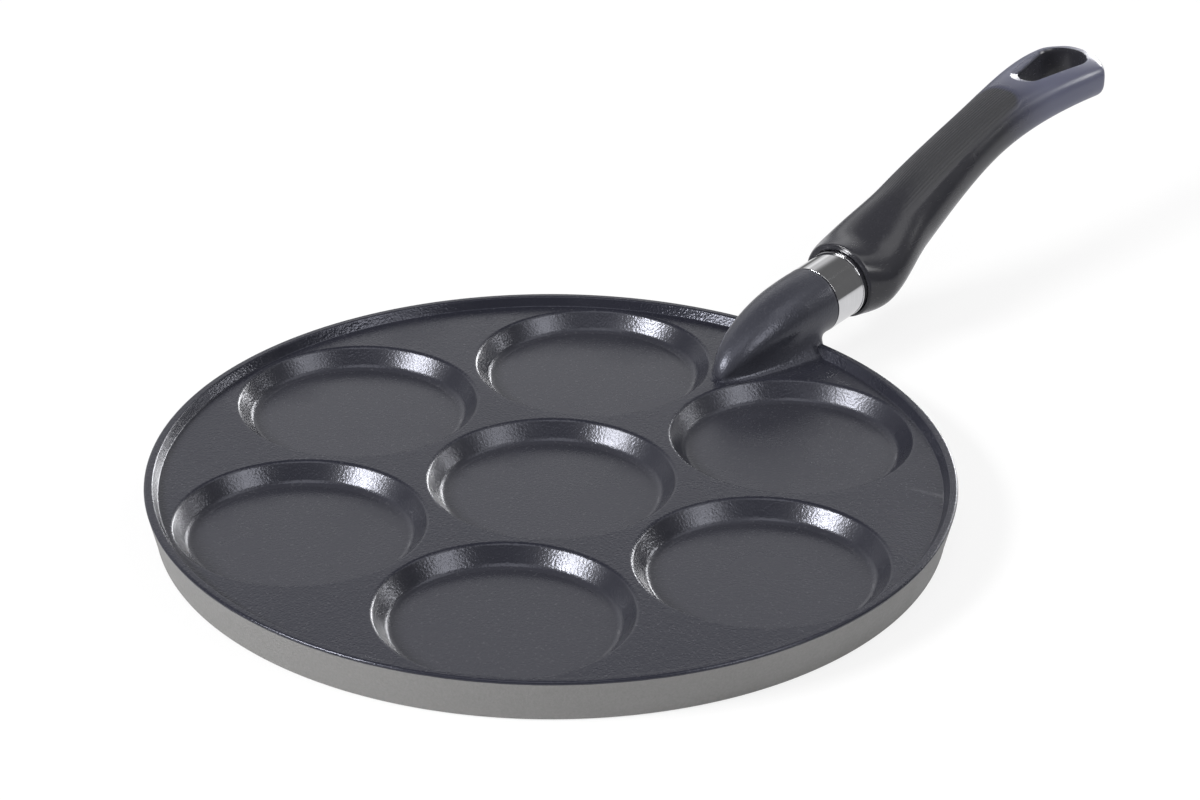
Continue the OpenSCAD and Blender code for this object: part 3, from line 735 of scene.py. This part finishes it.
def steelFinish(name, color, rough, brushed):
    # bright drawn steel with faint lines round the sleeve and a few scratches
    material, tree, coords, shader = startMaterial(name)
    shader.inputs["Metallic"].default_value = 1.0
    stretched = addNode(tree, "ShaderNodeMapping", (-5, 2), {"Vector": coords, "Scale": (90.0, 1.0, 1.0)})
    lines = addNode(tree, "ShaderNodeTexNoise", (-4, 2),
                    {"Vector": stretched.outputs[0], "Scale": 60.0, "Detail": 3.0})
    marks = placeGroup(tree, rubMarks, (-4, 4), {"Vector": coords, "Scratch Scale": 90.0, "Cloud Scale": 60.0})
    wear = placeGroup(tree, wearAndDust, (-4, 6), {"Vector": coords, "Edge": 0.6, "Dust": 0.1})
    dim = tuple(c * 0.82 for c in color[:3]) + (1,)
    tone = calc(tree, "MULTIPLY", lines.outputs[0], 0.6, (-2, 2))
    share = calc(tree, "ADD", tone, calc(tree, "MULTIPLY", marks["Clouds"], 0.3, (-2, 4)), (-1, 3), True)
    base = mixColor(tree, share, color, dim, (0, 2))
    base = mixColor(tree, wear["Dust"], base, (0.5, 0.5, 0.5, 1), (1, 2))
    tree.links.new(base, shader.inputs["Base Color"])
    spread = calc(tree, "ADD", calc(tree, "MULTIPLY", marks["Scratches"], 0.05, (-1, 5)),
                  ramp(tree, lines.outputs[0], 0.3, 0.7, (-1, 6), rough, rough + brushed), (1, 5))
    tree.links.new(spread, shader.inputs["Roughness"])
    bumpInto(tree, shader, lines.outputs[0], 0.00001, 0.4, (2, 6))
    return material


def handleFinish():
    # dark moulding: glossy sides with a fine skin, a matt panel between the top's two edges, and a lobe round the
    # hole painted light lavender as a painted sheen
    look = {"gloss": (0.022, 0.022, 0.027, 1), "glossRough": 0.24,
            "matt": (0.028, 0.028, 0.031, 1), "mattRough": 0.52,
            "lobe": (0.085, 0.089, 0.134, 1), "lobeRough": 0.32, "lobeFrom": 86.0, "lobeTo": 122.0,
            "worn": (0.12, 0.12, 0.13, 1), "skinDepth": 0.00003,
            "sheen": 0.06, "sheenRough": 0.45, "sheenTint": (0.80, 0.82, 1.0, 1)}
    material, tree, coords, shader = startMaterial("darkMoulding")
    shader.inputs["Sheen Weight"].default_value = look["sheen"]
    shader.inputs["Sheen Roughness"].default_value = look["sheenRough"]
    shader.inputs["Sheen Tint"].default_value = look["sheenTint"]
    place = addNode(tree, "ShaderNodeSeparateXYZ", (-5, 3), {0: coords})
    normal = addNode(tree, "ShaderNodeNewGeometry", (-5, 6))
    facing = addNode(tree, "ShaderNodeSeparateXYZ", (-4, 6), {0: normal.outputs["Normal"]})
    corner = handle["panelCorner"] * mm
    middle = (mouthX + (handle["panelStart"] + handle["panelEnd"]) / 2) * mm
    reach = (handle["panelEnd"] - handle["panelStart"]) / 2 * mm - corner
    dx = calc(tree, "ABSOLUTE", calc(tree, "SUBTRACT", place.outputs[0], middle, (-4, 2)), None, (-3, 2))
    dx = calc(tree, "MAXIMUM", calc(tree, "SUBTRACT", dx, reach, (-2, 2)), 0.0, (-1, 2))
    dy = calc(tree, "SUBTRACT", calc(tree, "ABSOLUTE", place.outputs[1], None, (-4, 3)),
              handle["panelHalf"] * mm - corner, (-3, 3))
    dy = calc(tree, "MAXIMUM", dy, 0.0, (-1, 3))
    gap = calc(tree, "SQRT", calc(tree, "ADD", calc(tree, "MULTIPLY", dx, dx, (0, 2)),
                                  calc(tree, "MULTIPLY", dy, dy, (0, 3)), (1, 2)), None, (2, 2))
    panel = ramp(tree, gap, corner - 0.0018, corner + 0.0006, (3, 2), 1.0, 0.0)
    lead = ramp(tree, place.outputs[0], (mouthX + handle["panelStart"]) * mm,
                (mouthX + handle["panelStart"] + handle["panelLead"]) * mm, (3, 4))
    panel = calc(tree, "MULTIPLY", calc(tree, "MULTIPLY", panel, lead, (4, 2)),
                 ramp(tree, facing.outputs["Z"], 0.1, 0.3, (-3, 6)), (4, 3))
    # lobe mask: the end round the hanging hole, whose base colour is a painted sheen of bluish light; the mask also
    # makes the lobe rougher
    lobe = ramp(tree, place.outputs[0], (mouthX + look["lobeFrom"]) * mm, (mouthX + look["lobeTo"]) * mm, (3, 6))
    lobe = calc(tree, "MULTIPLY", lobe, calc(tree, "SUBTRACT", 1.0, panel, (4, 4)), (4, 5))
    wideX = (mouthX + handle["length"] - handle["holeWall"] - handle["holeWide"]) * mm
    narrowX = (mouthX + handle["length"] - handle["holeWall"] - handle["holeLength"] + handle["holeNarrow"]) * mm
    half = addNode(tree, "ShaderNodeMapRange", (-4, 9), {
        "Value": place.outputs[0], "From Min": narrowX, "From Max": wideX,
        "To Min": handle["holeNarrow"] * mm, "To Max": handle["holeWide"] * mm}).outputs["Result"]
    past = calc(tree, "MAXIMUM", calc(tree, "SUBTRACT", narrowX, place.outputs[0], (-4, 10)),
                calc(tree, "SUBTRACT", place.outputs[0], wideX, (-4, 11)), (-3, 10))
    past = calc(tree, "MAXIMUM", past, 0.0, (-2, 10))
    spread = calc(tree, "SQRT", calc(tree, "ADD", calc(tree, "MULTIPLY", past, past, (-1, 10)),
                                     calc(tree, "MULTIPLY", place.outputs[1], place.outputs[1], (-1, 11)), (0, 10)),
                  None, (1, 10))
    outsideHole = ramp(tree, calc(tree, "SUBTRACT", spread, half, (2, 10)), 0.0002, 0.0012, (3, 10))
    lobe = calc(tree, "MULTIPLY", lobe, outsideHole, (4, 6))
    grain = placeGroup(tree, surfaceGrain, (-3, -2),
                       {"Vector": coords, "Lump Scale": 260.0, "Grain Scale": 2600.0, "Grain Share": 0.35})
    marks = placeGroup(tree, rubMarks, (-3, -4), {"Vector": coords, "Scratch Scale": 50.0, "Cloud Scale": 34.0})
    wear = placeGroup(tree, wearAndDust, (-3, -6), {"Vector": coords, "Edge": 0.2, "Dust": 0.15})
    base = mixColor(tree, panel, look["gloss"], look["matt"], (0, -3))
    # painted sheen: the lobe's lighter lavender colour
    base = mixColor(tree, lobe, base, look["lobe"], (0, -4))
    base = mixColor(tree, calc(tree, "ADD", wear["Edges"], wear["Dust"], (0, -6), True), base, look["worn"], (1, -3))
    tree.links.new(base, shader.inputs["Base Color"])
    rough = ramp(tree, marks["Clouds"], 0.0, 1.0, (0, 0), look["glossRough"] - 0.03, look["glossRough"] + 0.05)
    rough = shifted(tree, rough, panel, look["mattRough"] - look["glossRough"], (1, 0))
    rough = shifted(tree, rough, lobe, look["lobeRough"] - look["glossRough"], (1, 1))
    tree.links.new(calc(tree, "ADD", rough, calc(tree, "MULTIPLY", marks["Scratches"], 0.08, (2, -1)), (3, 0)),
                   shader.inputs["Roughness"])
    bumpInto(tree, shader, grain["Height"], look["skinDepth"], 0.5, (2, 5))
    return material


panMaterial = panFinish()
handleMaterial = handleFinish()
steelMaterial = steelFinish("polishedSteel", (0.78, 0.78, 0.80, 1), 0.05, 0.03)
zincMaterial = steelFinish("brightZinc", (0.56, 0.57, 0.58, 1), 0.28, 0.14)
ownPiece(panBody, "pan_body", panMaterial)
ownPiece(handleGrip, "handle", handleMaterial)
ownPiece(ferruleSleeve, "ferrule", steelMaterial)
for name in ("handle_bolt", "spring_washer", "flat_washer"):
    mesh = nodes[name].data
    mesh.materials.clear()
    mesh.materials.append(zincMaterial)
print("finishes set")

# Studio: camera, floor, world and six soft lamps

shot = {
    "eye": (-0.7853, -0.6512, 0.5664), "right": (0.6293, -0.7771, 0.0077), "up": (0.3515, 0.2936, 0.8890),
    "lens": 104.57,
}
studio = {
    "floorColor": (0.86, 0.86, 0.86, 1), "floorShown": 0.8, "floorMirror": 0.8, "floorNear": 0.22, "floorFar": 0.75,
    "horizonLevel": 0.66, "dimLevel": 0.14, "glowLevel": 0.32, "fill": 0.30,
    "keyFrom": (-0.725, 0.370, 0.581), "keyPower": 102.0, "keySize": (1.12, 0.70),
    "leftFrom": (0.120, -0.760, 0.639), "leftPower": 25.0, "leftSize": (1.15, 1.3),
    "topFrom": (-0.296, -0.171, 0.940), "topPower": 10.6, "topSize": (1.5, 1.5),
    "backFrom": (0.970, 0.215, 0.105), "backPower": 46.0, "backSize": (1.15, 1.05), "lampDistance": 3.0,
    "crownFrom": (0.420, -0.330, 0.845), "crownPower": 7.0, "crownSize": (1.3, 1.3),
    "endFrom": (0.536, -0.200, 0.174), "endPower": 0.24, "endSize": (0.09, 0.08),
}


def addCamera():
    data = bpy.data.cameras.new("photoCamera")
    data.lens = shot["lens"]
    data.sensor_width = 36
    data.clip_start = 0.05
    camera = bpy.data.objects.new("photoCamera", data)
    scene.collection.objects.link(camera)
    right, up = Vector(shot["right"]).normalized(), Vector(shot["up"])
    back = right.cross(up).normalized()
    up = back.cross(right)
    turn = Matrix((right, up, back)).transposed().to_4x4()
    camera.matrix_world = Matrix.Translation(shot["eye"]) @ turn
    scene.camera = camera


def addLamp(name, direction, power, size, distance=studio["lampDistance"]):
    data = bpy.data.lights.new(name, "AREA")
    data.shape = "RECTANGLE"
    data.size, data.size_y = size
    data.energy = power
    lamp = bpy.data.objects.new(name, data)
    scene.collection.objects.link(lamp)
    away = Vector(direction).normalized()
    lamp.location = away * distance
    lamp.rotation_euler = away.to_track_quat("Z", "Y").to_euler()


def shownRays(tree, place):
    path = addNode(tree, "ShaderNodeLightPath", place)
    mirror = calc(tree, "MAXIMUM", path.outputs["Is Glossy Ray"], path.outputs["Is Transmission Ray"],
                  (place[0] + 1, place[1]))
    return path.outputs["Is Camera Ray"], mirror


def addWorld():
    world = bpy.data.worlds.new("studioWorld")
    scene.world = world
    world.use_nodes = True
    tree = world.node_tree
    tree.nodes.clear()
    camera, mirror = shownRays(tree, (-4, 0))
    direction = addNode(tree, "ShaderNodeTexCoord", (-4, 3)).outputs["Generated"]
    parts = addNode(tree, "ShaderNodeSeparateXYZ", (-3, 3), {0: direction}).outputs
    low = ramp(tree, parts["Z"], 0.53, 0.70, (-2, 4), studio["horizonLevel"], studio["dimLevel"])
    glow = calc(tree, "MULTIPLY", ramp(tree, parts["Z"], 0.24, 0.30, (-2, 8), 0.0, studio["glowLevel"]),
                ramp(tree, parts["Z"], 0.38, 0.44, (-2, 9), 1.0, 0.0), (-1, 8))
    low = calc(tree, "ADD", low, glow, (-1, 7))
    low = calc(tree, "MULTIPLY", low, ramp(tree, parts["Z"], 0.08, 0.20, (-2, 10), 0.3, 1.0), (-1, 9))
    right = ramp(tree, parts["Y"], -0.30, 0.05, (-2, 6), studio["dimLevel"], 1.0)
    away = ramp(tree, parts["X"], -0.35, 0.35, (-2, 5), studio["dimLevel"], 1.0)
    mirrored = calc(tree, "MINIMUM", calc(tree, "MINIMUM", low, away, (-1, 4)), right, (-1, 5))
    level = addNode(tree, "ShaderNodeMix", (-1, 1), {0: mirror, 2: studio["fill"], 3: mirrored},
                    data_type="FLOAT").outputs[0]
    level = calc(tree, "MAXIMUM", level, camera, (0, 1))
    back = addNode(tree, "ShaderNodeBackground", (1, 0), {"Color": (1, 1, 1, 1), "Strength": level})
    output = addNode(tree, "ShaderNodeOutputWorld", (2, 0))
    tree.links.new(back.outputs[0], output.inputs["Surface"])


def addFloor():
    bm = bmesh.new()
    bmesh.ops.create_grid(bm, x_segments=8, y_segments=8, size=4)
    mesh = bpy.data.meshes.new("floor")
    bm.to_mesh(mesh)
    bm.free()
    floor = bpy.data.objects.new("floor", mesh)
    floor.location.z = -0.0002
    scene.collection.objects.link(floor)
    material = bpy.data.materials.new("paleFloor")
    material.use_nodes = True
    tree = material.node_tree
    tree.nodes.clear()
    camera, mirror = shownRays(tree, (-4, 0))
    shown = calc(tree, "MAXIMUM", calc(tree, "MULTIPLY", camera, studio["floorShown"], (-2, 0)), mirror, (-1, 0))
    # mirror rays see the floor glowing white, brightest near the pan and fading with distance: a painted pool of
    # light in reflections; camera rays see an even white floor
    spot = addNode(tree, "ShaderNodeNewGeometry", (-4, 2)).outputs["Position"]
    reach = addNode(tree, "ShaderNodeVectorMath", (-3, 2), {0: spot}, operation="LENGTH").outputs["Value"]
    mirrorLightPool = ramp(tree, reach, studio["floorNear"], studio["floorFar"], (-2, 2),
                studio["floorMirror"], studio["dimLevel"])
    level = calc(tree, "MAXIMUM", mirrorLightPool, camera, (-1, 2))
    plain = addNode(tree, "ShaderNodeBsdfDiffuse", (-1, 2), {"Color": studio["floorColor"]})
    white = addNode(tree, "ShaderNodeEmission", (-1, 3), {"Color": (1, 1, 1, 1), "Strength": level})
    mixed = addNode(tree, "ShaderNodeMixShader", (0, 1), {0: shown, 1: plain.outputs[0], 2: white.outputs[0]})
    output = addNode(tree, "ShaderNodeOutputMaterial", (1, 1))
    tree.links.new(mixed.outputs[0], output.inputs["Surface"])
    mesh.materials.append(material)


addCamera()
addWorld()
addFloor()
for side in ("key", "left", "top", "crown", "back"):
    addLamp(side + "Softbox", studio[side + "From"], studio[side + "Power"], studio[side + "Size"])
addLamp("endSoftbox", studio["endFrom"], studio["endPower"], studio["endSize"], Vector(studio["endFrom"]).length)
scene.view_settings.view_transform = "Standard"
print("studio set")
